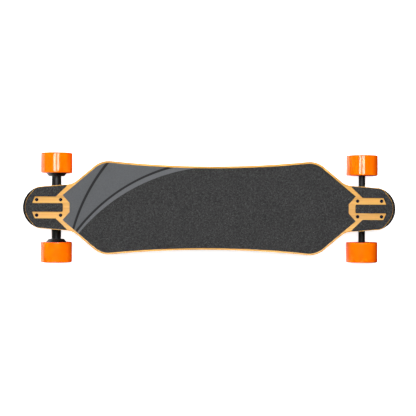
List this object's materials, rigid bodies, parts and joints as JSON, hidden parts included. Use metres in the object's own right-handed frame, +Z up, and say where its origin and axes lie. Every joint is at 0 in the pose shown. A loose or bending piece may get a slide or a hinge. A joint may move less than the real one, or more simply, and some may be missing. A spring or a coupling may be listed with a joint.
{
  "type": "electric skateboard",
  "caption": "Electric longboard: bamboo deck with grip sheets, hub-motor rear truck, free-wheeling front truck, and a battery case under the deck.",
  "frame": {"origin": "on the ground, below the middle of the deck", "axes": "+X towards the front, +Y to the rider's left when facing forwards, +Z up"},
  "size_m": [0.9882, 0.2982, 0.1272],
  "materials": {
    "bamboo": "clear satin lacquer over vertical-laminated bamboo",
    "grip_sheet": "coarse grit grip with printed grey bands",
    "rubber_black": "moulded rubber",
    "orange_urethane": "glossy cast urethane",
    "bushing_urethane": "satin cast urethane",
    "black_metal": "satin black powder coat",
    "black_plastic": "textured moulded plastic",
    "core_plastic": "glass-filled nylon",
    "steel": "turned bright steel",
    "black_screws": "black oxide",
    "motor_alloy": "turned, grey anodised",
    "magnet_steel": "nickel plated",
    "lamination": "stacked silicon steel",
    "copper": "enamelled copper wire",
    "cell_wrap": "shrink wrap",
    "bracket_plastic": "moulded ABS",
    "circuit_board": "solder mask",
    "plate_alloy": "milled",
    "cable_jacket": "silicone jacket"
  },
  "bodies": {
    "board": {"deck": "bamboo", "main_grip": "grip_sheet", "nose_grip": "grip_sheet", "tail_grip": "grip_sheet", "nose_bumper": "rubber_black", "tail_bumper": "rubber_black", "bumper_screws": "black_screws", "enclosure": "black_plastic", "enclosure_gasket": "rubber_black", "enclosure_screws": "black_screws", "battery_cells": "cell_wrap", "cell_brackets": "bracket_plastic", "bms_board": "circuit_board", "esc_board": "circuit_board", "esc_heat_plate": "plate_alloy", "power_leads": "cable_jacket", "charge_socket": "black_plastic", "button_bezel": "steel", "phase_leads": "cable_jacket", "truck_bolts": "black_screws", "truck_nuts": "steel", "riser_pads": "rubber_black", "front_baseplate": "black_metal", "rear_baseplate": "black_metal", "pivot_cups": "bushing_urethane", "kingpins": "steel", "kingpin_nuts": "black_screws", "bushing_washers": "steel", "front_boardside_bushing": "bushing_urethane", "rear_boardside_bushing": "bushing_urethane", "front_roadside_bushing": "bushing_urethane", "rear_roadside_bushing": "bushing_urethane"},
    "power_button": {"power_button": "black_plastic"},
    "charge_cap": {"charge_cap": "rubber_black"},
    "front_hanger": {"front_hanger": "black_metal", "front_axle": "steel", "front_axle_nuts": "steel"},
    "rear_hanger": {"rear_hanger": "black_metal", "rear_axle": "steel", "rear_axle_nuts": "steel", "motor_flanges": "motor_alloy", "stator_cores": "lamination", "stator_windings": "copper", "motor_cables": "cable_jacket"},
    "front_left_wheel": {"front_left_tyre": "orange_urethane", "front_left_core": "core_plastic", "front_left_bearings": "steel"},
    "front_right_wheel": {"front_right_tyre": "orange_urethane", "front_right_core": "core_plastic", "front_right_bearings": "steel"},
    "rear_left_wheel": {"rear_left_tyre": "orange_urethane", "rear_left_motor_can": "motor_alloy", "rear_left_magnets": "magnet_steel", "rear_left_bearings": "steel", "rear_left_covers": "black_metal"},
    "rear_right_wheel": {"rear_right_tyre": "orange_urethane", "rear_right_motor_can": "motor_alloy", "rear_right_magnets": "magnet_steel", "rear_right_bearings": "steel", "rear_right_covers": "black_metal"}
  },
  "joints": [
    {"name": "front_steer", "type": "hinge", "parent": "board", "child": "front_hanger", "pos_m": [0.3927, 0, 0.0445], "axis": [0.7071, 0, 0.7071], "range_deg": [-20, 20], "stiffness_Nm_per_rad": 80, "deforming": ["front_boardside_bushing", "front_roadside_bushing"]},
    {"name": "rear_steer", "type": "hinge", "parent": "board", "child": "rear_hanger", "pos_m": [-0.3927, 0, 0.0445], "axis": [-0.7071, 0, 0.7071], "range_deg": [-20, 20], "stiffness_Nm_per_rad": 80, "deforming": ["rear_boardside_bushing", "rear_roadside_bushing"]},
    {"name": "front_left_wheel_spin", "type": "hinge", "parent": "front_hanger", "child": "front_left_wheel", "pos_m": [0.4172, 0.1182, 0.0425], "axis": [0, 1, 0], "continuous": true},
    {"name": "front_right_wheel_spin", "type": "hinge", "parent": "front_hanger", "child": "front_right_wheel", "pos_m": [0.4172, -0.1182, 0.0425], "axis": [0, 1, 0], "continuous": true},
    {"name": "rear_left_wheel_spin", "type": "hinge", "parent": "rear_hanger", "child": "rear_left_wheel", "pos_m": [-0.4172, 0.1216, 0.0425], "axis": [0, 1, 0], "continuous": true},
    {"name": "rear_right_wheel_spin", "type": "hinge", "parent": "rear_hanger", "child": "rear_right_wheel", "pos_m": [-0.4172, -0.1216, 0.0425], "axis": [0, 1, 0], "continuous": true},
    {"name": "power_button_press", "type": "slide", "parent": "board", "child": "power_button", "axis": [0, 1, 0], "range_m": [0, 0.0012], "stiffness_N_per_m": 400},
    {"name": "charge_cap_hinge", "type": "hinge", "parent": "board", "child": "charge_cap", "pos_m": [-0.218, -0.0786, 0.0977], "axis": [0, 0, -1], "range_deg": [0, 110]}
  ]
}
